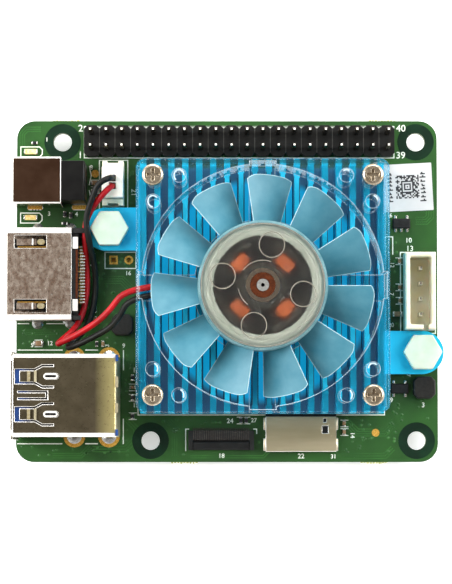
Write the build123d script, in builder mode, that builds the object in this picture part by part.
from build123d import *
from math import atan2, degrees, hypot, radians, sqrt, tan
import os

# A small single board computer with a finned heat sink and a clear fan.
# Millimetres, +Z up, board lying flat with its components on top. X = 0 and Y = 0 are the
# middle of the board, and Z = 0 is the surface that the ends of the heat sink bolts stand on.

os.makedirs("parts", exist_ok=True)

# ------------------------------------------------------------------ driving dimensions
# Circuit board
board_length = 69.0
board_width = 56.0
board_thickness = 1.6
board_corner_radius = 3.0
mount_hole_radius = 1.5
mount_hole_inset = 3.5
rear_hole_from_left = 7.5
front_hole_from_left = 22.0
plated_gap = 0.18  # between a pin's corner and its plated hole
solder_tail = 1.4  # how far a through-hole pin comes out under the board
touch_gap = 0.02  # between round faces that seat on each other

# Heat sink, its nylon bolts and what it cools
sink_side = 40.0
sink_from_right = 28.9
sink_y_offset = -0.15
sink_corner_radius = 1.0
sink_base_thickness = 2.0
fin_count = 18
fin_pitch = 2.24
fin_thickness = 1.0
fin_height = 6.2
ear_width = 7.0
ear_bolt_offset = 10.05
left_ear_bolt = 24.7
right_ear_bolt = 26.1
left_ear_round = 25.3
bolt_radius = 1.5
bolt_hole_radius = 1.65
bolt_head_across_flats = 5.5
bolt_head_height = 2.2
nut_height = 2.4
bolt_end = 0.6
bolt_head_round = 0.25
processor_side = 15.0
processor_height = 1.3
thermal_pad_side = 13.0
thermal_pad_thickness = 0.5
memory_length = 12.0
memory_width = 7.5
memory_height = 1.0
memory_offset = 13.0
memory_pitch = 14.0

# Fan
fan_side = 40.0
fan_height = 10.0
fan_corner_radius = 1.5
fan_bore_radius = 19.1
strut_width = 4.2
strut_height = 1.8
bore_relief = 0.45
fan_edge_round = 0.35
wire_slot_top = 3.3
sleeve_bottom = 1.9
motor_base_radius = 11.0
motor_base_thickness = 1.2
bearing_tube_radius = 2.6
bearing_tube_wall = 0.6
bearing_tube_height = 7.0
bearing_floor = 0.6
screw_offset = 17.3
screw_radius = 1.0
screw_clearance = 0.15
screw_length = 14.5
screw_head_radius = 1.7
screw_head_height = 1.1
recess_width = 0.5
recess_length = 2.0
recess_depth = 0.6
screw_head_round = 0.45
light_hole_offset = 13.2
light_hole_radius = 1.1
motor_board_radius = 8.6
motor_board_thickness = 0.8
air_gap = 0.36  # between the magnet and the stator's shoes
stator_thickness = 2.2
stator_height = 4.2
stator_ring_radius = 3.7
stator_pole_width = 1.6
stator_gap = 3.2
stator_shoe_thickness = 0.9
pole_count = 4
pole_angle = 45.0
coil_width = 3.2
coil_gap = 0.25  # between a coil and the core's ring or shoe
coil_height = 3.8
coil_round = 0.8
coil_edge_round = 0.6
coil_round_share = 0.35  # of the coil's length, for a coil too short for its rounds
coil_edge_share = 0.27
shaft_round = 0.2
shaft_radius = 1.0
shaft_clearance = 0.03
shaft_bottom = 1.2
bush_radius = 2.0
bush_height = 2.3
retainer_radius = 1.6
retainer_thickness = 0.3
hub_radius = 10.3
hub_wall = 0.65
hub_plate = 0.8
hub_bottom = 3.2
hub_top = 9.7
hub_round = 1.0
hub_mark_radius = 2.02
hub_mark_offset = 6.5
hub_mark_depth = 0.12
hub_mark_angle = 77.4
yoke_wall = 0.7
yoke_lip = 1.78
magnet_wall = 1.15
blade_count = 11
blade_sweep = 24.0
blade_tip_radius = 17.7
blade_height = 4.6
blade_thickness = 0.7
blade_middle = 6.0
blade_first_angle = -12.0

# 40-pin header
pin_pitch = 2.54
header_columns = 20
header_rows = 2
header_housing_height = 2.54
header_notch = 0.55
header_pin_width = 0.64
header_pin_top = 8.5
pin_tip_chamfer = 0.18

# Sheet metal of the sockets, and how far their tabs reach through the board
sheet = 0.3
fold_round = 0.27  # outside radius of the folds
tab_width = 1.2
tab_tail = 1.3

# Power jack
jack_overhang = 0.15
jack_from_rear = 10.5
jack_width = 7.6
jack_height = 8.0
jack_shell_length = 7.8
jack_length = 11.7
jack_rear_width = 6.4
jack_bore_radius = 3.05
jack_bore_depth = 9.2
jack_pin_radius = 1.05
jack_pin_inset = 0.8
jack_spring_width = 2.0
jack_spring_start = 3.4
jack_rear_round = 0.35
jack_pin_round = 0.4
jack_slot_offset = 3.75
jack_slot_length = 2.6
jack_slot_width = 0.9
jack_slots_from_front = (3.15, 10.45)
jack_tab_room = 2.0

# Video socket
video_overhang = 1.15
video_y = 2.45
video_width = 15.05
video_height = 6.2
video_shell_length = 10.45
video_length = 11.55
video_throat = 1.1
video_chamfer_width = 2.0
video_chamfer_height = 1.6
video_floor = 0.5
video_tongue_width = 11.6
video_tongue_thickness = 1.3
video_tongue_depth = 7.0
video_contact_count = 19
video_contact_pitch = 0.5
video_contact_width = 0.26
video_window_offset = 5.2
video_window_width = 2.1
video_window_start = 1.2
video_window_length = 5.2
video_spring_width = 0.9
video_spring_gap = 0.9
video_spring_root = 1.6
video_spring_toe = 1.4
video_spring_drop = 0.55
video_spring_tip_drop = 0.3
video_spring_thickness = 0.24
video_contact_inset = 0.5
video_contact_depth = 0.1
video_tail_thickness = 0.15
video_rear_step = 0.4
video_rear_inset = 0.6
video_block = 1.45
video_block_length = 1.9
video_block_height = 2.4
video_tail_reach = 1.2
video_tabs_from_front = (4.65, 9.65)

# Stacked pair of square ports
port_setback = 0.55
port_from_front = 10.6
port_width = 13.1
port_height = 15.6
port_length = 16.85
port_lip = 0.4
port_lip_flare = 0.45
port_lip_corner = 1.0
port_lip_foot = 0.8
port_mouth_width = 12.1
port_mouth_height = 5.3
port_mouth_depth = 12.6
port_lower_mouth = 3.95
port_mouth_pitch = 7.55
port_tongue_width = 11.0
port_tongue_thickness = 1.9
port_tongue_rise = 0.85
port_tongue_inset = 1.2
port_contact_count = 4
port_contact_pitch = 2.4
port_contact_width = 0.8
port_contact_thickness = 0.15
port_contact_start = 1.0
port_contact_end = 0.5
port_tail_width = 0.46
port_tail_height = 1.15
port_spring_offset = 3.0
port_spring_start = 1.05
port_spring_length = 5.4
port_spring_tip = 1.8
port_spring_root = 3.1
port_slit = 0.28
port_spring_tip_gap = 2.6  # the tip's gap, as a share of the slit beside it
port_spring_bend = 0.45  # the share of the tongue's length that is narrow
port_spring_shoulder = 1.2
port_hairpin = (0.8, 5.25)
port_hairpin_offset = 0.55
port_oval_length = 2.3
port_oval_width = 0.9
port_oval_start = 6.1
port_rear_round = 0.9
port_tabs_from_rear = (2.2, 7.85)
port_pad_radius = 1.2
port_tail_rows = (1.6, 3.6, 5.6, 7.6)

# Card slot
slot_x_from_right = 22.45
slot_width = 11.5
slot_cover_depth = 5.7
slot_depth = 10.8
slot_from_front = 1.7
slot_height = 1.45
slot_sheet = 0.15
slot_foot = 0.35
slot_foot_length = 2.0
slot_floor = 0.3
slot_mouth_width = 11.0
slot_wall = 0.8
slot_contact_count = 8
slot_contact_pitch = 1.1
slot_contact_width = 0.5
slot_contact_length = 3.0
# Openings in the cover: from its middle, from its front, width, length
slot_windows = ((3.95, 3.6, 0.95, 1.2), (3.9, 5.1, 0.5, 0.6))

# Flat-cable socket with its flip-up latch
cable_x = -0.95
cable_length = 10.7
cable_depth = 3.2
cable_from_front = 1.95
cable_height = 1.15
cable_cheek = 0.7
cable_rear_depth = 1.45
cable_floor = 0.3
latch_gap = 0.08
latch_pivot_from_rear_block = 0.62
latch_pivot_height = 0.72
latch_pin_radius = 0.2
latch_pin_clearance = 0.03
latch_pin_length = 0.4
latch_front_reach = 1.05
latch_thickness = 0.62
latch_heel_radius = 0.34
cable_contact_count = 31
cable_contact_pitch = 0.3
cable_contact_width = 0.14
cable_tail = 0.45
cable_slit = 0.12
latch_chamfer = 0.12

# Four-pin serial header
serial_from_right = 3.2
serial_y = -0.3
serial_width = 4.9
serial_length = 12.5
serial_height = 7.0
serial_wall = 0.75
serial_floor = 1.6
serial_chamfer_x = 1.3
serial_chamfer_y = 2.1
serial_pitch = 2.5
serial_pin_width = 0.64
serial_pin_count = 4
serial_pin_top = 5.6
serial_pin_offset = 0.1
serial_notch = 0.9
serial_rim_chamfer = 0.2

# Fan socket and plug
fan_socket_from_left = 15.9
fan_socket_from_rear = 10.6
fan_socket_width = 3.5
fan_socket_length = 7.3
fan_socket_base = 1.0
fan_socket_post = 1.1
fan_socket_height = 3.7
fan_socket_clip = 0.35
fan_pin_pitch = 1.25
fan_pin_width = 0.32
fan_pin_top = 3.4
fan_socket_foot = 0.7
plug_gap = 0.05
plug_round = 0.2
plug_top = 6.0
plug_cavity = 1.08
plug_cavity_floor = 0.4
terminal_side = 0.86
terminal_wall = 0.14
terminal_top = 4.7
terminal_crimp = 1.0

# Fan lead
wire_radius = 0.5
arc_share = 0.45

# Two-hole pad beside the heat sink
lead_pad_radius = 0.4
lead_pads_from_left = (15.9, 18.4)
lead_pad_y = 5.1

# Small parts of the board
inductor_height = 2.0
inductor_chamfer = 0.7
chip_height = 1.0
chip_end_start = 0.6
led_end_start = 0.82
inductor_round = 0.3
lead_thickness = 0.15
label_thickness = 0.1
label_turn = 2.9
label_size = (9.8, 7.8)
label_from_corner = (5.65, 11.0)
chip_part_height = 0.5
led_size = (2.2, 0.85, 0.6)
led_from_left = 2.3
led_from_rear = (5.1, 15.95)
lead_foot = 0.55
lead_span = 1.9
port_column_gap = 1.65
serial_column_gap = 0.55
under_capacitor_size = (1.0, 0.5)
lead_width = 0.4
under_chip_height = 0.9

# ------------------------------------------------------------------ places worked out
left = -board_length / 2
right = board_length / 2
front = -board_width / 2
rear = board_width / 2
board_bottom = nut_height + bolt_end
board_top = board_bottom + board_thickness

hole_row = rear - mount_hole_inset
right_hole_x = right - mount_hole_inset
rear_hole_x = left + rear_hole_from_left
front_hole_x = left + front_hole_from_left
mount_holes = [
    (rear_hole_x, hole_row),
    (right_hole_x, hole_row),
    (right_hole_x, -hole_row),
    (front_hole_x, -hole_row),
]

header_x = (rear_hole_x + right_hole_x) / 2
header_y = hole_row

sink_x = right - sink_from_right
sink_y = sink_y_offset
sink_bottom = board_top + processor_height + thermal_pad_thickness
sink_base_top = sink_bottom + sink_base_thickness
fan_bottom = sink_base_top + fin_height
fan_top = fan_bottom + fan_height
left_bolt = (sink_x - left_ear_bolt, sink_y + ear_bolt_offset)
right_bolt = (sink_x + right_ear_bolt, sink_y - ear_bolt_offset)
sink_bolts = [left_bolt, right_bolt]
fan_screw_places = [
    (sink_x + a * screw_offset, sink_y + b * screw_offset) for a in (-1, 1) for b in (-1, 1)
]

jack_front = left - jack_overhang
jack_y = rear - jack_from_rear
video_front = left - video_overhang
video_middle = (video_y, board_top + video_floor + (video_height - video_floor) / 2)
port_front = left + port_setback
port_y = front + port_from_front
serial_x = right - serial_from_right
slot_x = right - slot_x_from_right
slot_front = front + slot_from_front
cable_front = front + cable_from_front
fan_socket_x = left + fan_socket_from_left
fan_socket_y = rear - fan_socket_from_rear

video_contact_start = -(video_contact_count - 1) / 2 * video_contact_pitch
video_tab_offset = video_width / 2 - sheet / 2
video_tabs = [
    (video_front + x, video_y + side * video_tab_offset)
    for x in video_tabs_from_front
    for side in (-1, 1)
]
port_tab_offset = port_width / 2 - sheet / 2
port_tabs = [
    (port_front + port_length - x, port_y + side * port_tab_offset)
    for x in port_tabs_from_rear
    for side in (-1, 1)
]
lead_pad_places = [(left + x, lead_pad_y) for x in lead_pads_from_left]
jack_slots = [(jack_front + x, jack_y - jack_slot_offset) for x in jack_slots_from_front]


def span(x, y, z, mode=Mode.ADD):
    """A box in the active part, from three (low, high) pairs."""
    with Locations((sum(x) / 2, sum(y) / 2, sum(z) / 2)):
        Box(x[1] - x[0], y[1] - y[0], z[1] - z[0], mode=mode)


def around(middle, size):
    """The (low, high) pair of a length centred on a middle."""
    return middle - size / 2, middle + size / 2


def square_grid_holes(middle, pitch, counts, width):
    """Square holes, in the active sketch, for a grid of square pins."""
    with Locations(middle):
        with GridLocations(pitch, pitch, *counts):
            Rectangle(width, width, mode=Mode.SUBTRACT)


# ------------------------------------------------------------------ the board
def make_circuit_board():
    with BuildPart() as circuit_board:
        with BuildSketch(Plane.XY.offset(board_bottom)):
            RectangleRounded(board_length, board_width, board_corner_radius)
            with Locations(*mount_holes):
                Circle(mount_hole_radius, mode=Mode.SUBTRACT)
            with Locations(*sink_bolts):
                Circle(bolt_hole_radius, mode=Mode.SUBTRACT)
            with Locations((header_x, header_y)):
                with GridLocations(pin_pitch, pin_pitch, header_columns, header_rows):
                    Circle(header_pin_width / sqrt(2) + plated_gap / 2, mode=Mode.SUBTRACT)
            with Locations((serial_x + serial_pin_offset, serial_y)):
                with GridLocations(0, serial_pitch, 1, serial_pin_count):
                    Circle(serial_pin_width / sqrt(2) + plated_gap / 2, mode=Mode.SUBTRACT)
            with Locations(*port_tabs):
                Circle(port_pad_radius, mode=Mode.SUBTRACT)
            with Locations(*video_tabs):
                SlotOverall(tab_width + 2 * plated_gap + sheet, sheet + 3 * plated_gap, mode=Mode.SUBTRACT)
            with Locations(*jack_slots):
                SlotOverall(jack_slot_length, jack_slot_width, mode=Mode.SUBTRACT)
            with Locations(*lead_pad_places):
                Circle(lead_pad_radius, mode=Mode.SUBTRACT)
        extrude(amount=board_thickness)
    circuit_board.part.label = "circuit_board"
    export_step(circuit_board.part, "parts/circuit_board.step")


def make_header_housing():
    with BuildPart() as pin_header_housing:
        with BuildSketch(Plane.XY.offset(board_top)):
            with Locations((header_x, header_y)):
                Rectangle(header_columns * pin_pitch, header_rows * pin_pitch)
                with GridLocations(pin_pitch, header_rows * pin_pitch, header_columns + 1, 2):
                    Rectangle(
                        header_notch * sqrt(2), header_notch * sqrt(2), rotation=45, mode=Mode.SUBTRACT
                    )
            square_grid_holes(
                (header_x, header_y), pin_pitch, (header_columns, header_rows), header_pin_width
            )
        extrude(amount=header_housing_height)
    pin_header_housing.part.label = "pin_header_housing"
    export_step(pin_header_housing.part, "parts/pin_header_housing.step")


def make_header_pins():
    with BuildPart() as pin_header_pins:
        with BuildSketch(Plane.XY.offset(board_bottom - solder_tail)):
            with Locations((header_x, header_y)):
                with GridLocations(pin_pitch, pin_pitch, header_columns, header_rows):
                    Rectangle(header_pin_width, header_pin_width)
        extrude(amount=solder_tail + board_thickness + header_pin_top)
        ends = pin_header_pins.faces().filter_by(Axis.Z)
        chamfer(ends.edges(), pin_tip_chamfer)
    pin_header_pins.part.label = "pin_header_pins"
    export_step(pin_header_pins.part, "parts/pin_header_pins.step")


# ------------------------------------------------------------------ power jack
jack_axis = board_top + jack_height / 2 - sheet / 2
jack_inner_width = jack_width - 2 * sheet
jack_inner_height = jack_height - sheet
jack_shell_rear = jack_front + jack_shell_length
jack_bore_end = jack_front + jack_bore_depth
jack_spring_slot = (jack_front + jack_spring_start, jack_bore_end)


def make_jack_body():
    with BuildPart() as power_jack_body:
        with BuildSketch(Plane.YZ.offset(jack_front)):
            with Locations((jack_y, board_top + jack_inner_height / 2)):
                Rectangle(jack_inner_width, jack_inner_height)
        extrude(amount=jack_shell_length)
        with BuildSketch(Plane.YZ.offset(jack_shell_rear)):
            with Locations((jack_y, board_top + jack_inner_height / 2)):
                Rectangle(jack_rear_width, jack_inner_height)
        extrude(amount=jack_length - jack_shell_length)
        rear_edges = power_jack_body.faces().sort_by(Axis.X)[-1].edges()
        fillet(rear_edges, jack_rear_round)
        with BuildSketch(Plane.YZ.offset(jack_front)):
            with Locations((jack_y, jack_axis)):
                Circle(jack_bore_radius)
        extrude(amount=jack_bore_depth, mode=Mode.SUBTRACT)
        with BuildSketch(Plane.YZ.offset(jack_bore_end)):
            with Locations((jack_y, jack_axis)):
                Circle(jack_pin_radius + touch_gap)
        extrude(amount=jack_length - jack_bore_depth, mode=Mode.SUBTRACT)
        slot_y = around(jack_y, jack_spring_width + 2 * plated_gap)
        span(jack_spring_slot, slot_y, (board_top, jack_axis - jack_bore_radius / 2), Mode.SUBTRACT)
        tab_low = jack_y - jack_inner_width / 2
        for x, _ in jack_slots:
            tab_x = around(x, tab_width + 2 * plated_gap)
            tab_z = (board_top, board_top + jack_tab_room)
            span(tab_x, (tab_low, tab_low + sheet), tab_z, Mode.SUBTRACT)
    power_jack_body.part.label = "power_jack_body"
    export_step(power_jack_body.part, "parts/power_jack_body.step")


def make_jack_shell():
    with BuildPart() as power_jack_shell:
        with BuildSketch(Plane.YZ.offset(jack_front)):
            with Locations((jack_y, board_top + jack_height / 2)):
                Rectangle(jack_width, jack_height)
            with Locations((jack_y, board_top + jack_inner_height / 2)):
                Rectangle(jack_inner_width, jack_inner_height, mode=Mode.SUBTRACT)
        extrude(amount=jack_shell_length)
        top_edges = power_jack_shell.edges().filter_by(Axis.X).group_by(Axis.Z)[-1]
        fillet(top_edges, fold_round)
    power_jack_shell.part.label = "power_jack_shell"
    export_step(power_jack_shell.part, "parts/power_jack_shell.step")


def make_jack_pin():
    with BuildPart() as power_jack_pin:
        with BuildSketch(Plane.YZ.offset(jack_front + jack_pin_inset)):
            with Locations((jack_y, jack_axis)):
                Circle(jack_pin_radius)
        extrude(amount=jack_length - jack_pin_inset - sheet)
        fillet(power_jack_pin.faces().sort_by(Axis.X)[0].edges(), jack_pin_round)
    power_jack_pin.part.label = "power_jack_pin"
    export_step(power_jack_pin.part, "parts/power_jack_pin.step")


def make_jack_spring():
    """A leaf that stands in the jack's floor slot and presses on the plug's sleeve."""
    start, end = jack_spring_slot[0] + sheet, jack_spring_slot[1] - sheet
    low, high = board_top + sheet, jack_axis - jack_bore_radius + sheet
    with BuildPart() as power_jack_spring:
        with BuildSketch(Plane.XZ.offset(-jack_y - jack_spring_width / 2)):
            with BuildLine():
                Polyline(
                    (start, low + sheet),
                    ((start + end) / 2, high),
                    (end - sheet, low + sheet),
                    (end - sheet, board_top),
                    (end, board_top),
                    (end, low + 2 * sheet),
                    ((start + end) / 2, high + sheet),
                    (start, low + 2 * sheet),
                    close=True,
                )
            make_face()
        extrude(amount=jack_spring_width)
    power_jack_spring.part.label = "power_jack_spring"
    export_step(power_jack_spring.part, "parts/power_jack_spring.step")


# ------------------------------------------------------------------ video socket
video_rear = video_front + video_length
video_shell_rear = video_front + video_shell_length


def video_outline(inset):
    """The corners of the socket's outline across X: square above, chamfered below."""
    half = video_width / 2 - inset
    top = board_top + video_height - inset
    low = board_top + video_floor + inset
    shoulder = low + video_chamfer_height
    foot = half - video_chamfer_width
    return [
        (video_y - half, top),
        (video_y + half, top),
        (video_y + half, shoulder),
        (video_y + foot, low),
        (video_y - foot, low),
        (video_y - half, shoulder),
    ]


def make_video_shell():
    with BuildPart() as video_socket_shell:
        for inset, mode in ((0, Mode.ADD), (sheet, Mode.SUBTRACT)):
            with BuildSketch(Plane.YZ.offset(video_front)):
                with BuildLine():
                    Polyline(*video_outline(inset), close=True)
                make_face()
            extrude(amount=video_shell_length, mode=mode)
        top_edges = video_socket_shell.edges().filter_by(Axis.X).group_by(Axis.Z)[-1]
        fillet(top_edges, fold_round)
        window = (video_front + video_window_start, video_front + video_window_start + video_window_length)
        top = (board_top + video_height - 2 * sheet, board_top + video_height + sheet)
        for side in (-1, 1):
            middle = video_y + side * video_window_offset
            span(window, around(middle, video_window_width), top, Mode.SUBTRACT)
        for x, y in video_tabs:
            span(
                around(x, tab_width),
                around(y, sheet),
                (board_bottom - tab_tail, board_top + video_floor + sheet + video_chamfer_height + sheet),
            )
    video_socket_shell.part.label = "video_socket_shell"
    export_step(video_socket_shell.part, "parts/video_socket_shell.step")


def make_video_springs():
    """The two spring tongues in the windows of the shell's top."""
    start = video_front + video_window_start + video_window_length
    tip = video_front + video_window_start + video_spring_gap
    toe = tip + video_spring_toe
    knee = start - video_spring_root
    top = board_top + video_height
    tip_top, toe_top = top - video_spring_tip_drop, top - video_spring_drop
    with BuildPart() as video_socket_springs:
        for side in (-1, 1):
            middle = video_y + side * video_window_offset
            with BuildSketch(Plane.XZ.offset(-middle - video_spring_width / 2)):
                with BuildLine():
                    Polyline(
                        (start, top - sheet),
                        (start, top),
                        (knee, top),
                        (toe, toe_top),
                        (tip, tip_top),
                        (tip, tip_top - video_spring_thickness),
                        (toe, toe_top - video_spring_thickness),
                        (knee, top - sheet),
                        close=True,
                    )
                make_face()
            extrude(amount=video_spring_width)
    video_socket_springs.part.label = "video_socket_springs"
    export_step(video_socket_springs.part, "parts/video_socket_springs.step")


def make_video_insulator():
    mouth = video_front + video_throat + video_tongue_depth
    tongue_z = around(video_middle[1], video_tongue_thickness)
    with BuildPart() as video_socket_insulator:
        with BuildSketch(Plane.YZ.offset(mouth)):
            with BuildLine():
                Polyline(*video_outline(sheet), close=True)
            make_face()
        extrude(amount=video_shell_rear - mouth)
        inner_height = video_height - video_floor - 2 * sheet
        rear_low = board_top + video_floor + sheet
        rear_z = (rear_low, rear_low + inner_height - video_rear_step)
        rear_width = video_width - 2 * (sheet + video_rear_inset)
        span((video_shell_rear, video_rear), around(video_y, rear_width), rear_z)
        for side in (-1, 1):
            middle = video_y + side * (video_width / 2 - video_block / 2)
            span(
                (video_shell_rear, video_shell_rear + video_block_length),
                around(middle, video_block),
                (board_top, board_top + video_block_height),
            )
        span((video_front + video_throat, mouth), around(video_y, video_tongue_width), tongue_z)
        for i in range(video_contact_count):
            y = video_y + video_contact_start + i * video_contact_pitch
            side = -1 if i % 2 else 1
            face = video_middle[1] + side * video_tongue_thickness / 2
            span(
                (video_front + video_throat + video_contact_inset, video_rear),
                around(y, video_contact_width),
                around(face - side * video_contact_depth / 2, video_contact_depth),
                Mode.SUBTRACT,
            )
    video_socket_insulator.part.label = "video_socket_insulator"
    export_step(video_socket_insulator.part, "parts/video_socket_insulator.step")


def make_video_contacts():
    with BuildPart() as video_socket_contacts:
        for i in range(video_contact_count):
            y = around(video_y + video_contact_start + i * video_contact_pitch, video_contact_width)
            side = -1 if i % 2 else 1
            face = video_middle[1] + side * video_tongue_thickness / 2
            z = around(face - side * video_contact_depth / 2, video_contact_depth)
            drop_end = video_rear + video_tail_thickness
            span((video_front + video_throat + video_contact_inset, drop_end), y, z)
            span((video_rear, drop_end), y, (board_top, z[1]))
            tail_z = (board_top, board_top + video_tail_thickness)
            span((video_rear, video_rear + video_tail_reach), y, tail_z)
    video_socket_contacts.part.label = "video_socket_contacts"
    export_step(video_socket_contacts.part, "parts/video_socket_contacts.step")


# ------------------------------------------------------------------ stacked square ports
port_rear = port_front + port_length
port_top = board_top + port_height
port_mouths = [board_top + port_lower_mouth + i * port_mouth_pitch for i in range(2)]
port_spring_places = [port_y - port_spring_offset, port_y + port_spring_offset]


def port_box(inset):
    """The (low, high) pairs of the port block across Y and Z, inside the shell by inset."""
    return around(port_y, port_width - 2 * inset), (board_top, port_top - inset)


def port_spring_outline(middle, grow, tail=0.0):
    """The corners of a spring tongue from above, made larger by grow and longer by tail."""
    tip = port_front + port_spring_start - grow * port_spring_tip_gap
    bend = port_front + port_spring_start + port_spring_length * port_spring_bend
    root = port_front + port_spring_start + port_spring_length + tail
    narrow = port_spring_tip / 2 + grow
    wide = port_spring_root / 2 + grow
    half = [(tip, narrow), (bend, narrow), (bend + port_spring_shoulder, wide), (root, wide)]
    return [(x, middle + y) for x, y in half] + [(x, middle - y) for x, y in reversed(half)]


def make_port_shell():
    y_wall, z_wall = port_box(0)
    with BuildPart() as dual_port_shell:
        span((port_front, port_rear), y_wall, z_wall)
        rear_top = dual_port_shell.edges().filter_by(Axis.Y).group_by(Axis.X)[-1].sort_by(Axis.Z)[-1]
        fillet(rear_top, port_rear_round)
        top_sides = dual_port_shell.edges().filter_by(Axis.X).group_by(Axis.Z)[-1]
        fillet(top_sides, fold_round)
        with BuildSketch(Plane.XY.offset(board_top)):
            with Locations(((port_front + port_rear - sheet) / 2, port_y)):
                Rectangle(port_length - sheet, port_width - 2 * sheet)
        extrude(amount=port_height - sheet, mode=Mode.SUBTRACT)
        make_port_lip(y_wall, z_wall)
        for middle in port_spring_places:
            with BuildSketch(Plane.XY.offset(port_top - 2 * sheet)):
                with BuildLine():
                    Polyline(*port_spring_outline(middle, port_slit), close=True)
                make_face()
                with BuildLine():
                    Polyline(*port_spring_outline(middle, 0, sheet), close=True)
                make_face(mode=Mode.SUBTRACT)
                with Locations((port_front + port_oval_start, middle)):
                    SlotOverall(port_oval_length, port_oval_width)
            extrude(amount=3 * sheet, mode=Mode.SUBTRACT)
        make_port_hairpin()
        for x, y in port_tabs:
            span(around(x, tab_width), around(y, sheet), (board_bottom - tab_tail, board_top + sheet))
    dual_port_shell.part.label = "dual_port_shell"
    export_step(dual_port_shell.part, "parts/dual_port_shell.step")


def make_port_lip(y_wall, z_wall):
    """The flared lip round the mouth, on the top and the two sides."""
    lip = (port_front - port_lip, port_front)
    flare = port_lip_flare
    corner = port_lip_corner
    span(lip, (y_wall[0] + corner, y_wall[1] - corner), (port_top - sheet, port_top + flare))
    for side in (-1, 1):
        inner = port_y + side * (port_width / 2 - sheet)
        outer = port_y + side * (port_width / 2 + flare)
        span(lip, sorted((inner, outer)), (z_wall[0] + port_lip_foot, z_wall[1] - corner))


def make_port_hairpin():
    """The hairpin slit between the two spring tongues."""
    top = (port_top - 2 * sheet, port_top + sheet)
    start, end = port_front + port_hairpin[0], port_front + port_hairpin[1]
    for side in (-1, 1):
        y = port_y + side * port_hairpin_offset
        span((start, end), around(y, port_slit), top, Mode.SUBTRACT)
    width = 2 * port_hairpin_offset + port_slit
    span((end, end + port_slit), around(port_y, width), top, Mode.SUBTRACT)


def make_port_insulator():
    y_room, z_room = port_box(sheet)
    start, back = port_front + sheet, port_rear - sheet
    with BuildPart() as dual_port_insulator:
        span((start, back), y_room, z_room)
        rear_top = dual_port_insulator.edges().filter_by(Axis.Y).group_by(Axis.X)[-1].sort_by(Axis.Z)[-1]
        fillet(rear_top, port_rear_round)
        for z in port_mouths:
            span(
                (start, start + port_mouth_depth),
                around(port_y, port_mouth_width),
                around(z, port_mouth_height),
                Mode.SUBTRACT,
            )
        for z in port_mouths:
            tongue = around(z + port_tongue_rise, port_tongue_thickness)
            tongue_x = (start + port_tongue_inset, start + port_mouth_depth)
            span(tongue_x, around(port_y, port_tongue_width), tongue)
        port_contact_spans(Mode.SUBTRACT)
        hole = port_tail_width + 2 * touch_gap
        for x in port_tail_rows:
            with BuildSketch(Plane.XY.offset(board_top)):
                with Locations((port_rear - x, port_y)):
                    with GridLocations(0, port_contact_pitch, 1, port_contact_count):
                        Rectangle(hole, hole)
            extrude(amount=port_tail_height + plated_gap, mode=Mode.SUBTRACT)
    dual_port_insulator.part.label = "dual_port_insulator"
    export_step(dual_port_insulator.part, "parts/dual_port_insulator.step")


def port_contact_spans(mode):
    """The contact strips under each tongue, or the channels that they lie in."""
    start = port_front + sheet + port_tongue_inset
    end = port_front + sheet + port_mouth_depth - port_contact_end
    for z in port_mouths:
        low = z + port_tongue_rise - port_tongue_thickness / 2
        for i in range(port_contact_count):
            y = port_y + (i - (port_contact_count - 1) / 2) * port_contact_pitch
            span(
                (start + port_contact_start, end),
                around(y, port_contact_width),
                (low, low + port_contact_thickness),
                mode,
            )


def make_port_contacts():
    with BuildPart() as dual_port_contacts:
        port_contact_spans(Mode.ADD)
    dual_port_contacts.part.label = "dual_port_contacts"
    export_step(dual_port_contacts.part, "parts/dual_port_contacts.step")


def make_port_tails():
    """The pins that carry the contacts down through the board."""
    with BuildPart() as dual_port_tails:
        for x in port_tail_rows:
            with BuildSketch(Plane.XY.offset(board_top)):
                with Locations((port_rear - x, port_y)):
                    with GridLocations(0, port_contact_pitch, 1, port_contact_count):
                        Rectangle(port_tail_width, port_tail_width)
            extrude(amount=port_tail_height)
    dual_port_tails.part.label = "dual_port_tails"
    export_step(dual_port_tails.part, "parts/dual_port_tails.step")


# ------------------------------------------------------------------ card slot
slot_rear = slot_front + slot_depth
slot_cover_rear = slot_front + slot_cover_depth
slot_top = board_top + slot_height


def make_slot_cover():
    with BuildPart() as card_slot_cover:
        x_wall = around(slot_x, slot_width)
        span(x_wall, (slot_front, slot_cover_rear), (board_top + slot_sheet, slot_top))
        x_room = around(slot_x, slot_width - 2 * slot_sheet)
        y_room = (slot_front - slot_sheet, slot_cover_rear + slot_sheet)
        span(x_room, y_room, (board_top, slot_top - slot_sheet), Mode.SUBTRACT)
        for x, side in ((x_wall[0], -1), (x_wall[1], 1)):
            foot_x = sorted((x - side * slot_sheet, x + side * slot_foot))
            for y in (slot_front + slot_sheet, slot_cover_rear - slot_sheet - slot_foot_length):
                span(foot_x, (y, y + slot_foot_length), (board_top, board_top + slot_sheet))
        for x, y, width, length in slot_windows:
            span(
                around(slot_x + x, width),
                around(slot_front + y, length),
                (slot_top - 2 * slot_sheet, slot_top + slot_sheet),
                Mode.SUBTRACT,
            )
    card_slot_cover.part.label = "card_slot_cover"
    export_step(card_slot_cover.part, "parts/card_slot_cover.step")


def make_slot_body():
    with BuildPart() as card_slot_body:
        width = slot_width - 2 * slot_sheet
        under_cover = (slot_front + slot_sheet, slot_cover_rear)
        rear_part = (slot_cover_rear, slot_rear)
        span(around(slot_x, width), under_cover, (board_top, slot_top - slot_sheet))
        span(around(slot_x, slot_width), rear_part, (board_top, slot_top - slot_sheet))
        room_z = (board_top + slot_floor, slot_top - 2 * slot_sheet)
        room_y = (slot_front, slot_rear - slot_wall)
        span(around(slot_x, slot_mouth_width), room_y, room_z, Mode.SUBTRACT)
        slot_contact_spans((board_top, board_top + slot_floor), Mode.SUBTRACT)
    card_slot_body.part.label = "card_slot_body"
    export_step(card_slot_body.part, "parts/card_slot_body.step")


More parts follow.
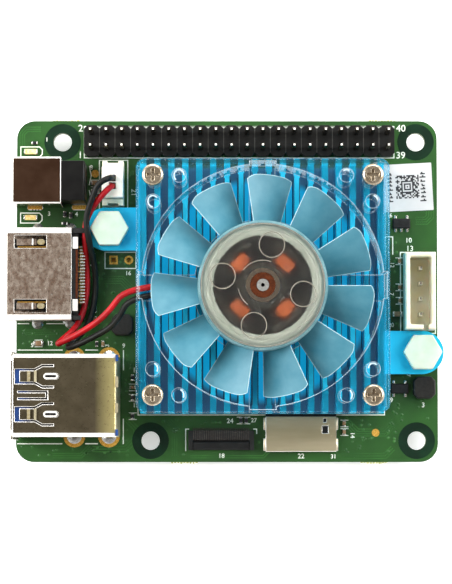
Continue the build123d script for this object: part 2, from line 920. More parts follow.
def slot_contact_spans(z, mode):
    """The contact strips in the slot's floor, or the channels that they lie in."""
    end = slot_rear - slot_wall - slot_floor
    for i in range(slot_contact_count):
        x = slot_x + (i - (slot_contact_count - 1) / 2) * slot_contact_pitch
        span(around(x, slot_contact_width), (end - slot_contact_length, end), z, mode)


def make_slot_contacts():
    with BuildPart() as card_slot_contacts:
        slot_contact_spans((board_top, board_top + slot_floor), Mode.ADD)
    card_slot_contacts.part.label = "card_slot_contacts"
    export_step(card_slot_contacts.part, "parts/card_slot_contacts.step")


# ------------------------------------------------------------------ flat-cable socket
cable_rear = cable_front + cable_depth
cable_block_front = cable_rear - cable_rear_depth
latch_pivot = (cable_block_front - latch_pivot_from_rear_block, board_top + latch_pivot_height)
latch_length = cable_length - 2 * cable_cheek - 2 * latch_gap


def cable_contact_xs():
    """The middles of the flat cable's contacts along X."""
    start = cable_x - (cable_contact_count - 1) / 2 * cable_contact_pitch
    return [start + i * cable_contact_pitch for i in range(cable_contact_count)]


def make_cable_body():
    with BuildPart() as cable_socket_body:
        x_wall = around(cable_x, cable_length)
        top = board_top + cable_height
        span(x_wall, (cable_block_front, cable_rear), (board_top, top))
        for side in (-1, 1):
            middle = cable_x + side * (cable_length - cable_cheek) / 2
            span(around(middle, cable_cheek), (cable_front, cable_block_front), (board_top, top))
        span(x_wall, (cable_front, cable_block_front), (board_top, board_top + cable_floor))
        with BuildSketch(Plane.YZ.offset(cable_x - cable_length / 2)):
            with Locations(latch_pivot):
                Circle(latch_pin_radius + latch_pin_clearance)
        extrude(amount=cable_length, mode=Mode.SUBTRACT)
        for x in cable_contact_xs():
            span(
                around(x, cable_contact_width),
                (cable_block_front - cable_slit, cable_rear),
                (top - cable_slit, top),
                Mode.SUBTRACT,
            )
    cable_socket_body.part.label = "cable_socket_body"
    export_step(cable_socket_body.part, "parts/cable_socket_body.step")


def make_cable_latch():
    pivot_y, pivot_z = latch_pivot
    with BuildPart() as cable_socket_latch:
        with BuildSketch(Plane.YZ.offset(cable_x - latch_length / 2)):
            with Locations(latch_pivot):
                Circle(latch_heel_radius)
            with Locations((pivot_y - latch_front_reach / 2, pivot_z)):
                Rectangle(latch_front_reach, latch_thickness)
        extrude(amount=latch_length)
        front_edges = cable_socket_latch.edges().filter_by(Axis.X).group_by(Axis.Y)[0]
        chamfer(front_edges, latch_chamfer)
        pins_length = latch_length + 2 * latch_gap + 2 * latch_pin_length
        with BuildSketch(Plane.YZ.offset(cable_x - pins_length / 2)):
            with Locations(latch_pivot):
                Circle(latch_pin_radius)
        extrude(amount=pins_length)
    cable_socket_latch.part.label = "cable_socket_latch"
    export_step(cable_socket_latch.part, "parts/cable_socket_latch.step")


def make_cable_contacts():
    top = board_top + cable_height
    with BuildPart() as cable_socket_contacts:
        for x in cable_contact_xs():
            width = around(x, cable_contact_width)
            span(width, (cable_block_front - cable_slit, cable_rear), (top - cable_slit, top))
            span(width, (cable_rear, cable_rear + cable_slit), (board_top, top))
            span(width, (cable_rear, cable_rear + cable_tail), (board_top, board_top + cable_slit))
    cable_socket_contacts.part.label = "cable_socket_contacts"
    export_step(cable_socket_contacts.part, "parts/cable_socket_contacts.step")


# ------------------------------------------------------------------ serial header
def make_serial_housing():
    with BuildPart() as serial_header_housing:
        with BuildSketch(Plane.XY.offset(board_top)):
            with Locations((serial_x, serial_y)):
                Rectangle(serial_width, serial_length)
                with Locations((-serial_width / 2, -serial_length / 2)):
                    with BuildLine():
                        Polyline((0, 0), (serial_chamfer_x, 0), (0, serial_chamfer_y), close=True)
                    make_face(mode=Mode.SUBTRACT)
            square_grid_holes(
                (serial_x + serial_pin_offset, serial_y), serial_pitch, (1, serial_pin_count), serial_pin_width
            )
        extrude(amount=serial_height)
        room = (serial_width - 2 * serial_wall, serial_length - 2 * serial_wall)
        with BuildSketch(Plane.XY.offset(board_top + serial_floor)):
            with Locations((serial_x, serial_y)):
                RectangleRounded(*room, serial_wall / 2)
        extrude(amount=serial_height - serial_floor, mode=Mode.SUBTRACT)
        rim = serial_header_housing.edges().filter_by(GeomType.LINE).group_by(Axis.Z)[-1]
        chamfer(rim, serial_rim_chamfer)
        span(
            around(serial_x + serial_notch, serial_notch),
            (serial_y - serial_length / 2, serial_y - serial_length / 2 + serial_wall),
            (board_top + serial_floor, board_top + serial_height),
            Mode.SUBTRACT,
        )
    serial_header_housing.part.label = "serial_header_housing"
    export_step(serial_header_housing.part, "parts/serial_header_housing.step")


def make_serial_pins():
    with BuildPart() as serial_header_pins:
        with BuildSketch(Plane.XY.offset(board_bottom - solder_tail)):
            with Locations((serial_x + serial_pin_offset, serial_y)):
                with GridLocations(0, serial_pitch, 1, serial_pin_count):
                    Rectangle(serial_pin_width, serial_pin_width)
        extrude(amount=solder_tail + board_thickness + serial_pin_top)
        chamfer(serial_header_pins.faces().filter_by(Axis.Z).edges(), pin_tip_chamfer)
    serial_header_pins.part.label = "serial_header_pins"
    export_step(serial_header_pins.part, "parts/serial_header_pins.step")


# ------------------------------------------------------------------ fan socket and plug
plug_length = fan_socket_length - 2 * fan_socket_post - 2 * plug_gap
plug_bottom = board_top + fan_socket_base + plug_gap
plug_cavity_ys = [fan_socket_y + side * fan_pin_pitch / 2 for side in (-1, 1)]
terminal_bottom = plug_bottom + plug_cavity_floor


def make_fan_socket():
    x_wall = around(fan_socket_x, fan_socket_width)
    with BuildPart() as fan_socket_housing:
        span(x_wall, around(fan_socket_y, fan_socket_length), (board_top, board_top + fan_socket_base))
        for side in (-1, 1):
            middle = fan_socket_y + side * (fan_socket_length - fan_socket_post) / 2
            post_z = (board_top, board_top + fan_socket_height)
            span(x_wall, around(middle, fan_socket_post), post_z)
            notch = fan_socket_y + side * (fan_socket_length / 2 - fan_socket_clip / 2)
            notch_z = (board_top + fan_socket_base, board_top + fan_socket_height)
            notch_x = around(fan_socket_x, fan_socket_width / 2)
            span(notch_x, around(notch, fan_socket_clip), notch_z, Mode.SUBTRACT)
        for y in plug_cavity_ys:
            pin = around(y, fan_pin_width)
            pin_z = (board_top, board_top + fan_socket_base)
            span(around(fan_socket_x, fan_pin_width), pin, pin_z, Mode.SUBTRACT)
            span((x_wall[0], fan_socket_x), pin, (board_top, board_top + fan_pin_width), Mode.SUBTRACT)
    fan_socket_housing.part.label = "fan_socket_housing"
    export_step(fan_socket_housing.part, "parts/fan_socket_housing.step")


def make_fan_socket_pins():
    """Two contact pins with feet out to one side."""
    foot = fan_socket_x - fan_socket_width / 2 - fan_socket_foot
    with BuildPart() as fan_socket_pins:
        for y in plug_cavity_ys:
            pin = around(y, fan_pin_width)
            span(around(fan_socket_x, fan_pin_width), pin, (board_top, board_top + fan_pin_top))
            span((foot, fan_socket_x), pin, (board_top, board_top + fan_pin_width))
    fan_socket_pins.part.label = "fan_socket_pins"
    export_step(fan_socket_pins.part, "parts/fan_socket_pins.step")


def make_fan_plug():
    with BuildPart() as fan_plug_housing:
        span(
            around(fan_socket_x, fan_socket_width),
            around(fan_socket_y, plug_length),
            (plug_bottom, board_top + plug_top),
        )
        top_edges = fan_plug_housing.edges().group_by(Axis.Z)[-1]
        fillet(top_edges, plug_round)
        for y in plug_cavity_ys:
            cavity_z = (terminal_bottom, board_top + plug_top)
            span(around(fan_socket_x, plug_cavity), around(y, plug_cavity), cavity_z, Mode.SUBTRACT)
            hole = fan_pin_width + 2 * plug_gap
            span(around(fan_socket_x, hole), around(y, hole), (plug_bottom, terminal_bottom), Mode.SUBTRACT)
    fan_plug_housing.part.label = "fan_plug_housing"
    export_step(fan_plug_housing.part, "parts/fan_plug_housing.step")


def make_fan_terminals():
    """Crimped terminals: a square tube round the pin, and a solid crimp above it."""
    with BuildPart() as fan_plug_terminals:
        for y in plug_cavity_ys:
            z = (terminal_bottom, board_top + terminal_top)
            span(around(fan_socket_x, terminal_side), around(y, terminal_side), z)
            room = terminal_side - 2 * terminal_wall
            tube_z = (terminal_bottom, board_top + terminal_top - terminal_crimp)
            span(around(fan_socket_x, room), around(y, room), tube_z, Mode.SUBTRACT)
    fan_plug_terminals.part.label = "fan_plug_terminals"
    export_step(fan_plug_terminals.part, "parts/fan_plug_terminals.step")


# ------------------------------------------------------------------ processor and memory
def make_processor():
    with BuildPart() as processor:
        span(
            around(sink_x, processor_side),
            around(sink_y, processor_side),
            (board_top, board_top + processor_height),
        )
    processor.part.label = "processor"
    export_step(processor.part, "parts/processor.step")


def make_thermal_pad():
    with BuildPart() as thermal_pad:
        span(
            around(sink_x, thermal_pad_side),
            around(sink_y, thermal_pad_side),
            (board_top + processor_height, sink_bottom),
        )
    thermal_pad.part.label = "thermal_pad"
    export_step(thermal_pad.part, "parts/thermal_pad.step")


def make_memory_chips():
    with BuildPart() as memory_chips:
        for side in (-1, 1):
            span(
                around(sink_x - memory_offset, memory_width),
                around(sink_y + side * memory_pitch / 2, memory_length),
                (board_top, board_top + memory_height),
            )
    memory_chips.part.label = "memory_chips"
    export_step(memory_chips.part, "parts/memory_chips.step")


# ------------------------------------------------------------------ heat sink
def make_heat_sink():
    ears = [
        (left_bolt, sink_x - left_ear_round),
        (right_bolt, right_bolt[0]),
    ]
    with BuildPart() as heat_sink:
        with BuildSketch(Plane.XY.offset(sink_bottom)):
            with Locations((sink_x, sink_y)):
                RectangleRounded(sink_side, sink_side, sink_corner_radius)
            for bolt, end_x in ears:
                with Locations(((sink_x + end_x) / 2, bolt[1])):
                    Rectangle(abs(end_x - sink_x), ear_width)
                with Locations((end_x, bolt[1])):
                    Circle(ear_width / 2)
            with Locations(*sink_bolts):
                Circle(bolt_hole_radius, mode=Mode.SUBTRACT)
        extrude(amount=sink_base_thickness)
        with BuildSketch(Plane.XY.offset(sink_base_top)):
            with Locations((sink_x, sink_y)):
                with GridLocations(fin_pitch, 0, fin_count, 1):
                    Rectangle(fin_thickness, sink_side)
        extrude(amount=fin_height)
        with BuildSketch(Plane.XY.offset(fan_bottom - sink_screw_depth)):
            with Locations(*fan_screw_places):
                Circle(screw_radius + touch_gap)
        extrude(amount=sink_screw_depth, mode=Mode.SUBTRACT)
    heat_sink.part.label = "heat_sink"
    export_step(heat_sink.part, "parts/heat_sink.step")


def make_sink_bolts():
    with BuildPart() as heat_sink_bolts:
        with BuildSketch(Plane.XY.offset(0)):
            with Locations(*sink_bolts):
                Circle(bolt_radius)
        extrude(amount=sink_base_top)
        with BuildSketch(Plane.XY.offset(sink_base_top)):
            with Locations(*sink_bolts):
                RegularPolygon(bolt_head_across_flats / 2, 6, major_radius=False)
        extrude(amount=bolt_head_height)
        fillet(heat_sink_bolts.edges().group_by(Axis.Z)[-1], bolt_head_round)
    heat_sink_bolts.part.label = "heat_sink_bolts"
    export_step(heat_sink_bolts.part, "parts/heat_sink_bolts.step")


def make_sink_nuts():
    with BuildPart() as heat_sink_nuts:
        with BuildSketch(Plane.XY.offset(bolt_end)):
            with Locations(*sink_bolts):
                RegularPolygon(bolt_head_across_flats / 2, 6, major_radius=False)
                Circle(bolt_radius + touch_gap, mode=Mode.SUBTRACT)
        extrude(amount=nut_height)
    heat_sink_nuts.part.label = "heat_sink_nuts"
    export_step(heat_sink_nuts.part, "parts/heat_sink_nuts.step")


# ------------------------------------------------------------------ fan, from the hub inwards
hub_room_radius = hub_radius - hub_wall
yoke_radius = hub_room_radius - touch_gap
magnet_radius = yoke_radius - yoke_wall - touch_gap
stator_tip_radius = magnet_radius - magnet_wall - air_gap
stator_shoe_radius = stator_tip_radius - stator_shoe_thickness
coil_length = stator_shoe_radius - stator_ring_radius - 2 * coil_gap
coil_middle_radius = (stator_shoe_radius + stator_ring_radius) / 2
coil_corner_radius = min(coil_round, coil_round_share * coil_length)
coil_edge_radius = min(coil_edge_round, coil_edge_share * coil_length)

# ------------------------------------------------------------------ fan, standing parts
sink_screw_depth = screw_length - fan_height
motor_board_bottom = fan_bottom + motor_base_thickness
motor_board_top = motor_board_bottom + motor_board_thickness
shaft_hole_radius = shaft_radius + shaft_clearance
sleeve_radius = bearing_tube_radius - bearing_tube_wall - touch_gap


def make_fan_frame():
    middle = (sink_x, sink_y)
    with BuildPart() as fan_frame:
        with BuildSketch(Plane.XY.offset(fan_bottom)):
            with Locations(middle):
                RectangleRounded(fan_side, fan_side, fan_corner_radius)
        extrude(amount=fan_height)
        fillet(fan_frame.faces().filter_by(Axis.Z).edges(), fan_edge_round)
        with BuildSketch(Plane.XY.offset(fan_bottom)):
            with Locations(middle):
                Circle(fan_bore_radius)
                Rectangle(2 * (fan_bore_radius + bore_relief), strut_width)
                Rectangle(strut_width, 2 * (fan_bore_radius + bore_relief))
            with Locations(*fan_screw_places):
                Circle(screw_radius + screw_clearance)
            with Locations(*light_hole_places()):
                Circle(light_hole_radius)
        extrude(amount=fan_height, mode=Mode.SUBTRACT)
        span(
            (sink_x - fan_side / 2 - wire_radius, sink_x - fan_bore_radius + wire_radius),
            around(sink_y, strut_width),
            (fan_bottom + strut_height, fan_bottom + wire_slot_top),
            Mode.SUBTRACT,
        )
        with BuildSketch(Plane.XY.offset(fan_bottom)):
            with Locations(middle):
                Rectangle(2 * (fan_bore_radius + bore_relief), strut_width)
                Rectangle(strut_width, 2 * (fan_bore_radius + bore_relief))
        extrude(amount=strut_height)
        with BuildSketch(Plane.XY.offset(fan_bottom)):
            with Locations(middle):
                Circle(motor_base_radius)
        extrude(amount=strut_height)
        with BuildSketch(Plane.XY.offset(motor_board_bottom)):
            with Locations(middle):
                Circle(motor_board_radius + plated_gap)
        extrude(amount=strut_height, mode=Mode.SUBTRACT)
        with BuildSketch(Plane.XY.offset(fan_bottom)):
            with Locations(middle):
                Circle(bearing_tube_radius)
        extrude(amount=bearing_tube_height)
        with BuildSketch(Plane.XY.offset(fan_bottom + bearing_floor)):
            with Locations(middle):
                Circle(bearing_tube_radius - bearing_tube_wall)
        extrude(amount=bearing_tube_height, mode=Mode.SUBTRACT)
    fan_frame.part.label = "fan_frame"
    export_step(fan_frame.part, "parts/fan_frame.step")


def light_hole_places():
    """The eight small holes beside the screws, two at each corner."""
    near, far = light_hole_offset, screw_offset
    return [
        (sink_x + a * x, sink_y + b * y)
        for a in (-1, 1)
        for b in (-1, 1)
        for x, y in ((near, far), (far, near))
    ]


def make_fan_screws():
    with BuildPart() as fan_screws:
        with BuildSketch(Plane.XY.offset(fan_top - screw_length)):
            with Locations(*fan_screw_places):
                Circle(screw_radius)
        extrude(amount=screw_length)
        with BuildSketch(Plane.XY.offset(fan_top)):
            with Locations(*fan_screw_places):
                Circle(screw_head_radius)
        extrude(amount=screw_head_height)
        fillet(fan_screws.edges().group_by(Axis.Z)[-1], screw_head_round)
        with BuildSketch(Plane.XY.offset(fan_top + screw_head_height - recess_depth)):
            with Locations(*fan_screw_places):
                Rectangle(recess_length, recess_width)
                Rectangle(recess_width, recess_length)
        extrude(amount=recess_depth, mode=Mode.SUBTRACT)
    fan_screws.part.label = "fan_screws"
    export_step(fan_screws.part, "parts/fan_screws.step")


def make_bearing_sleeve():
    with BuildPart() as bearing_sleeve:
        with BuildSketch(Plane.XY.offset(fan_bottom + sleeve_bottom)):
            with Locations((sink_x, sink_y)):
                Circle(sleeve_radius)
                Circle(shaft_hole_radius, mode=Mode.SUBTRACT)
        extrude(amount=bearing_tube_height - sleeve_bottom)
    bearing_sleeve.part.label = "bearing_sleeve"
    export_step(bearing_sleeve.part, "parts/bearing_sleeve.step")


def make_motor_board():
    with BuildPart() as motor_circuit_board:
        with BuildSketch(Plane.XY.offset(motor_board_bottom)):
            with Locations((sink_x, sink_y)):
                Circle(motor_board_radius)
                Circle(bearing_tube_radius + plated_gap, mode=Mode.SUBTRACT)
        extrude(amount=motor_board_thickness)
    motor_circuit_board.part.label = "motor_circuit_board"
    export_step(motor_circuit_board.part, "parts/motor_circuit_board.step")


def make_stator_core():
    """Four poles with curved shoes round a ring that seats on the bearing tube."""
    with BuildPart() as stator_core:
        with BuildSketch(Plane.XY.offset(fan_bottom + stator_height)):
            with Locations((sink_x, sink_y)):
                Circle(stator_tip_radius)
                Circle(stator_shoe_radius, mode=Mode.SUBTRACT)
                with PolarLocations(0, pole_count):
                    Rectangle(2 * stator_tip_radius, stator_gap, mode=Mode.SUBTRACT)
                Circle(stator_ring_radius)
                with PolarLocations(0, pole_count, start_angle=pole_angle):
                    with Locations(((stator_tip_radius - stator_shoe_thickness / 2) / 2, 0)):
                        Rectangle(stator_tip_radius - stator_shoe_thickness / 2, stator_pole_width)
                Circle(bearing_tube_radius + touch_gap, mode=Mode.SUBTRACT)
        extrude(amount=stator_thickness)
    stator_core.part.label = "stator_core"
    export_step(stator_core.part, "parts/stator_core.step")


def make_stator_windings():
    """Four rounded coils, one round each pole."""
    middle_z = fan_bottom + stator_height + stator_thickness / 2
    with BuildPart() as stator_windings:
        with BuildSketch(Plane.XY.offset(middle_z - coil_height / 2)):
            with Locations((sink_x, sink_y)):
                with PolarLocations(coil_middle_radius, pole_count, start_angle=pole_angle):
                    RectangleRounded(coil_length, coil_width, coil_corner_radius)
        extrude(amount=coil_height)
        fillet(stator_windings.faces().filter_by(Axis.Z).edges(), coil_edge_radius)
        with BuildSketch(Plane.XY.offset(fan_bottom + stator_height)):
            with Locations((sink_x, sink_y)):
                with PolarLocations(coil_middle_radius, pole_count, start_angle=pole_angle):
                    Rectangle(coil_length, stator_pole_width)
        extrude(amount=stator_thickness, mode=Mode.SUBTRACT)
    stator_windings.part.label = "stator_windings"
    export_step(stator_windings.part, "parts/stator_windings.step")


# ------------------------------------------------------------------ fan, turning parts
hub_room_top = hub_top - hub_plate


def make_blade():
    """One blade about the origin: straight edges from above, level tips, a steady pitch."""
    half_sweep = tan(radians(blade_sweep / 2))
    root = hub_radius - hub_wall / 2
    with BuildPart() as blade:
        for radius in (root, blade_tip_radius + hub_wall):
            width = 2 * radius * half_sweep
            length = hypot(width, blade_height)
            with BuildSketch(Plane.YZ.offset(radius)):
                with Locations((0, fan_bottom + blade_middle)):
                    Rectangle(length, blade_thickness, rotation=degrees(atan2(blade_height, width)))
        loft()
        with BuildSketch(Plane.XY.offset(fan_bottom)):
            Circle(blade_tip_radius)
        extrude(amount=fan_height, mode=Mode.INTERSECT)
    return blade.part


def make_impeller():
    blade = make_blade()
    with BuildPart() as fan_impeller:
        with BuildSketch(Plane.XY.offset(fan_bottom + hub_bottom)):
            with Locations((sink_x, sink_y)):
                Circle(hub_radius)
        extrude(amount=hub_top - hub_bottom)
        fillet(fan_impeller.edges().group_by(Axis.Z)[-1], hub_round)
        with Locations((sink_x, sink_y)):
            with PolarLocations(0, blade_count, start_angle=blade_first_angle):
                add(blade)
        with BuildSketch(Plane.XY.offset(fan_bottom + hub_bottom - strut_height)):
            with Locations((sink_x, sink_y)):
                Circle(hub_room_radius)
        extrude(amount=hub_room_top - hub_bottom + strut_height, mode=Mode.SUBTRACT)
        with BuildSketch(Plane.XY.offset(fan_bottom + hub_top - bush_height)):
            with Locations((sink_x, sink_y)):
                Circle(bush_radius + hub_wall)
        extrude(amount=bush_height)
        with BuildSketch(Plane.XY.offset(fan_bottom + hub_top - bush_height)):
            with Locations((sink_x, sink_y)):
                Circle(bush_radius + touch_gap)
        extrude(amount=bush_height, mode=Mode.SUBTRACT)
        with BuildSketch(Plane.XY.offset(fan_bottom + hub_top - hub_mark_depth)):
            with Locations((sink_x, sink_y)):
                with PolarLocations(hub_mark_offset, pole_count, start_angle=hub_mark_angle):
                    Circle(hub_mark_radius)
        extrude(amount=hub_mark_depth, mode=Mode.SUBTRACT)
    fan_impeller.part.label = "fan_impeller"
    export_step(fan_impeller.part, "parts/fan_impeller.step")


def make_rotor_yoke():
    with BuildPart() as rotor_yoke:
        with BuildSketch(Plane.XY.offset(fan_bottom + hub_bottom)):
            with Locations((sink_x, sink_y)):
                Circle(yoke_radius)
        extrude(amount=hub_room_top - hub_bottom)
        fillet(rotor_yoke.edges().group_by(Axis.Z)[-1], yoke_wall)
        with BuildSketch(Plane.XY.offset(fan_bottom + hub_bottom)):
            with Locations((sink_x, sink_y)):
                Circle(yoke_radius - yoke_wall)
        extrude(amount=hub_room_top - hub_bottom - yoke_wall, mode=Mode.SUBTRACT)
        with BuildSketch(Plane.XY.offset(fan_bottom + hub_bottom)):
            with Locations((sink_x, sink_y)):
                Circle(yoke_radius - yoke_lip)
        extrude(amount=hub_room_top - hub_bottom, mode=Mode.SUBTRACT)
    rotor_yoke.part.label = "rotor_yoke"
    export_step(rotor_yoke.part, "parts/rotor_yoke.step")


def make_rotor_magnet():
    with BuildPart() as rotor_magnet:
        with BuildSketch(Plane.XY.offset(fan_bottom + hub_bottom + touch_gap)):
            with Locations((sink_x, sink_y)):
                Circle(magnet_radius)
                Circle(magnet_radius - magnet_wall, mode=Mode.SUBTRACT)
        extrude(amount=hub_room_top - hub_bottom - yoke_wall - 2 * touch_gap)
    rotor_magnet.part.label = "rotor_magnet"
    export_step(rotor_magnet.part, "parts/rotor_magnet.step")


def make_rotor_shaft():
    with BuildPart() as rotor_shaft:
        with BuildSketch(Plane.XY.offset(fan_bottom + shaft_bottom)):
            with Locations((sink_x, sink_y)):
                Circle(shaft_radius)
        extrude(amount=hub_top - shaft_bottom)
        fillet(rotor_shaft.faces().filter_by(Axis.Z).edges(), shaft_round)
    rotor_shaft.part.label = "rotor_shaft"
    export_step(rotor_shaft.part, "parts/rotor_shaft.step")


def make_shaft_bush():
    with BuildPart() as shaft_bush:
        with BuildSketch(Plane.XY.offset(fan_bottom + hub_top - bush_height)):
            with Locations((sink_x, sink_y)):
                Circle(bush_radius)
                Circle(shaft_radius + touch_gap, mode=Mode.SUBTRACT)
        extrude(amount=bush_height)
    shaft_bush.part.label = "shaft_bush"
    export_step(shaft_bush.part, "parts/shaft_bush.step")


def make_shaft_retainer():
    with BuildPart() as shaft_retainer:
        with BuildSketch(Plane.XY.offset(fan_bottom + sleeve_bottom - 2 * retainer_thickness)):
            with Locations((sink_x, sink_y)):
                Circle(retainer_radius)
                Circle(shaft_radius + touch_gap, mode=Mode.SUBTRACT)
        extrude(amount=retainer_thickness)
    shaft_retainer.part.label = "shaft_retainer"
    export_step(shaft_retainer.part, "parts/shaft_retainer.step")


# ------------------------------------------------------------------ fan lead
# Each wire's route: from the motor's board along a strut, out through the frame's side,
# down to a fold beside the square ports, back past the video socket, over the heat sink's
# left ear and down into the plug.
red_route = [
    (-2.7, 0.47, 17.12),
    (-15.7, 0.47, 17.12),
    (-19.3, -4.5, 15.7),
    (-23.2, -7.1, 14.0),
    (-27.2, -9.0, 12.8),
    (-27.3, -8.7, 9.4),
    (-24.0, -5.8, 8.4),
    (-22.8, -1.0, 7.2),
    (-22.85, 3.8, 7.0),
    (-23.1, 8.0, 9.5),
    (-22.95, 11.4, 9.9),
    (-20.9, 14.4, 11.9),
    (-18.6, 16.775, 12.1),
    (-18.6, 16.775, 9.3),
]
black_route = [
    (-2.7, -0.77, 17.12),
    (-15.3, -0.77, 17.12),
    (-17.7, -5.9, 14.9),
    (-22.0, -8.2, 13.2),
    (-25.5, -9.7, 12.0),
    (-25.9, -9.2, 8.4),
    (-22.7, -6.3, 7.3),
    (-21.4, -1.2, 6.4),
    (-21.45, 3.6, 7.4),
    (-22.5, 8.2, 10.8),
    (-22.9, 11.6, 11.4),
    (-21.7, 14.8, 12.6),
    (-20.9, 16.9, 13.1),
    (-18.6, 18.025, 13.3),
    (-18.6, 18.025, 9.3),
]


def corner_radii(route):
    """An arc for each corner of a route, as large as its two runs allow."""
    points = [Vector(*p) for p in route]
    radii = []
    for a, b, c in zip(points, points[1:], points[2:]):
        turn = radians((b - a).get_angle(c - b))
        run = min((b - a).length, (c - b).length)
        radii.append(arc_share * run / tan(turn / 2))
    return radii


def make_lead(name, route):
    radii = corner_radii(route)
    with BuildPart() as lead:
        with BuildLine() as path:
            FilletPolyline(*route, radius=radii)
        wire = path.wire()
        with BuildSketch(Plane(origin=wire @ 0, z_dir=wire % 0)):
            Circle(wire_radius)
        sweep(path=wire)
    lead.part.label = name
    export_step(lead.part, f"parts/{name}.step")


# ------------------------------------------------------------------ small parts of the board
# Chip parts on top: x, y, length, width, turn. Those in a column share its X.
port_column = port_rear + port_column_gap
serial_column = serial_x - serial_width / 2 - serial_column_gap
capacitor_places = [
    (left + 3.65, port_y + 8.8, 1.6, 0.8, 0),
    (serial_column, serial_y - 1.3, 1.0, 0.5, 90),
    (serial_column, serial_y + 0.9, 1.0, 0.5, 90),
    (serial_column, serial_y + 5.2, 1.0, 0.5, 90),
    (serial_column - 0.35, serial_y - 3.5, 1.6, 0.8, 0),
    (left + 12.8, rear - 10.25, 1.3, 0.7, 0),
    (port_column, port_y + 1.6, 1.0, 0.5, 0),
    (slot_x + 7.1, slot_front + 4.6, 1.0, 0.5, 90),
    (slot_x + 7.1, slot_front + 3.2, 1.0, 0.5, 90),
    (left + 14.2, front + 19.3, 1.0, 0.5, 90),
    (left + 12.9, front + 23.3, 1.0, 0.5, 90),
]
resistor_places = [
    (left + 12.8, rear - 11.75, 1.3, 0.7, 0),
    (left + 2.9, rear - 3.65, 1.0, 0.5, 0),
    (left + 7.9, rear - 15.4, 1.0, 0.5, 90),
    (left + 8.9, rear - 15.6, 1.0, 0.5, 90),
    (left + 7.9, rear - 16.9, 1.0, 0.5, 0),
    (port_column, port_y + 3.2, 1.0, 0.6, 90),
    (port_column, port_y - 0.1, 1.0, 0.6, 90),
    (port_column, port_y - 3.1, 1.0, 0.6, 90),
    (port_column + 1.0, port_y - 0.1, 1.0, 0.6, 90),
    (cable_x + 3.2, cable_front + 4.9, 1.0, 0.5, 90),
    (cable_x + 4.1, cable_front + 4.9, 1.0, 0.5, 90),
    (left + 13.2, front + 19.3, 1.0, 0.5, 90),
    (left + 12.9, front + 24.9, 1.0, 0.5, 90),
]
# Packages with leads on two sides: x, y, length, width, leads on the upper and lower sides
chip_places = [
    (right - 5.9, 11.05, 2.9, 1.6, 2, 3),
    (right - 6.3, -16.0, 2.9, 1.6, 2, 2),
]
# Moulded inductors: x, y, side
inductor_places = [(right - 2.3, -15.85, 3.6), (left + 17.4, -5.6, 3.5)]
under_capacitor_grid = (5, 4)
under_capacitor_pitch = 2.4
# Packages under the board: x, y, length, width
under_chip_places = [
    (left + 22.0, 2.0, 8.0, 6.0),
    (right - 14.0, 12.0, 5.0, 4.0),
    (left + 29.0, -16.0, 3.0, 3.0),
]


def chip_row(places, height, bottom, start, end):
    """The stretch of each chip part between two shares of its half length, both ways."""
    for x, y, length, width, turn in places:
        with Locations(Location((x, y, bottom + height / 2), (0, 0, turn))):
            size = length * (end - start) / 2
            if start == 0:
                Box(length * end, width, height)
            else:
                with GridLocations(length * (start + end) / 2, 0, 2, 1):
                    Box(size, width, height)


def make_chip_parts():
    for name, places in (("capacitor_bodies", capacitor_places), ("resistor_bodies", resistor_places)):
        with BuildPart() as bodies:
            chip_row(places, chip_part_height, board_top, 0, chip_end_start)
        bodies.part.label = name
        export_step(bodies.part, f"parts/{name}.step")
    with BuildPart() as chip_end_caps:
        chip_row(capacitor_places + resistor_places, chip_part_height, board_top, chip_end_start, 1)
        chip_row(led_places(), led_size[2], board_top, led_end_start, 1)
    chip_end_caps.part.label = "chip_end_caps"
    export_step(chip_end_caps.part, "parts/chip_end_caps.step")


def led_places():
    length, width, _ = led_size
    return [(left + led_from_left, rear - y, length, width, 0) for y in led_from_rear]


def make_leds():
    with BuildPart() as indicator_leds:
        chip_row(led_places(), led_size[2], board_top, 0, led_end_start)
    indicator_leds.part.label = "indicator_leds"
    export_step(indicator_leds.part, "parts/indicator_leds.step")


def make_inductors():
    with BuildPart() as power_inductors:
        for x, y, side in inductor_places:
            with BuildSketch(Plane.XY.offset(board_top)):
                with Locations((x, y)):
                    cut = Rectangle(side, side)
                chamfer(cut.vertices(), inductor_chamfer)
            extrude(amount=inductor_height)
        fillet(power_inductors.edges().group_by(Axis.Z)[-1], inductor_round)
    power_inductors.part.label = "power_inductors"
    export_step(power_inductors.part, "parts/power_inductors.step")


def make_regulators():
    with BuildPart() as regulator_chips:
        for x, y, length, width, _, _ in chip_places:
            body_z = (board_top + lead_thickness / 2, board_top + chip_height)
            span(around(x, length), around(y, width), body_z)
        chamfer(regulator_chips.edges().group_by(Axis.Z)[-1], lead_thickness)
    regulator_chips.part.label = "regulator_chips"
    export_step(regulator_chips.part, "parts/regulator_chips.step")


def make_chip_leads():
    """Gull-wing leads: up against the package's side, then out flat on the board."""
    with BuildPart() as chip_leads:
        for x, y, _, width, upper, lower in chip_places:
            for side, count in ((1, upper), (-1, lower)):
                edge = y + side * width / 2
                for i in range(count):
                    place = x + (i - (count - 1) / 2) * lead_span / (count - 1)
                    out = sorted((edge, edge + side * lead_foot))
                    near = sorted((edge, edge + side * lead_thickness))
                    span(around(place, lead_width), out, (board_top, board_top + lead_thickness))
                    span(around(place, lead_width), near, (board_top, board_top + chip_height / 2))
    chip_leads.part.label = "chip_leads"
    export_step(chip_leads.part, "parts/chip_leads.step")


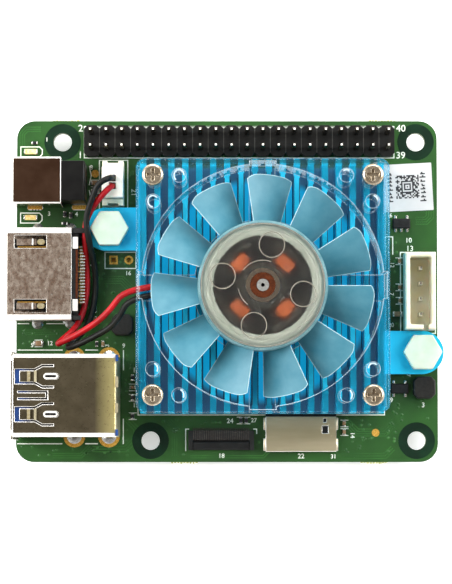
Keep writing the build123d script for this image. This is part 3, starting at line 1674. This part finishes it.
def make_label():
    corner_x, corner_y = label_from_corner
    with BuildPart() as label_sticker:
        with BuildSketch(Plane.XY.offset(board_top)):
            with Locations((right - corner_x, rear - corner_y)):
                RectangleRounded(*label_size, label_thickness, rotation=label_turn)
        extrude(amount=label_thickness)
    label_sticker.part.label = "label_sticker"
    export_step(label_sticker.part, "parts/label_sticker.step")


def make_underside_parts():
    columns, rows = under_capacitor_grid
    with BuildPart() as underside_capacitors:
        with Locations((sink_x, sink_y, board_bottom - chip_part_height / 2)):
            with GridLocations(under_capacitor_pitch, under_capacitor_pitch, columns, rows):
                Box(*under_capacitor_size, chip_part_height)
    underside_capacitors.part.label = "underside_capacitors"
    export_step(underside_capacitors.part, "parts/underside_capacitors.step")
    with BuildPart() as underside_chips:
        for x, y, length, width in under_chip_places:
            span(around(x, length), around(y, width), (board_bottom - under_chip_height, board_bottom))
        chamfer(underside_chips.edges().group_by(Axis.Z)[0], lead_thickness)
    underside_chips.part.label = "underside_chips"
    export_step(underside_chips.part, "parts/underside_chips.step")


make_circuit_board()
make_header_housing()
make_header_pins()
make_jack_body()
make_jack_shell()
make_jack_pin()
make_jack_spring()
make_video_shell()
make_video_springs()
make_video_insulator()
make_video_contacts()
make_port_shell()
make_port_insulator()
make_port_contacts()
make_port_tails()
make_slot_cover()
make_slot_body()
make_slot_contacts()
make_cable_body()
make_cable_latch()
make_cable_contacts()
make_serial_housing()
make_serial_pins()
make_fan_socket()
make_fan_socket_pins()
make_fan_plug()
make_fan_terminals()
make_processor()
make_thermal_pad()
make_memory_chips()
make_heat_sink()
make_sink_bolts()
make_sink_nuts()
make_fan_frame()
make_fan_screws()
make_bearing_sleeve()
make_motor_board()
make_stator_core()
make_stator_windings()
make_impeller()
make_rotor_yoke()
make_rotor_magnet()
make_rotor_shaft()
make_shaft_bush()
make_shaft_retainer()
make_lead("fan_lead_red", red_route)
make_lead("fan_lead_black", black_route)
make_chip_parts()
make_leds()
make_inductors()
make_regulators()
make_chip_leads()
make_label()
make_underside_parts()
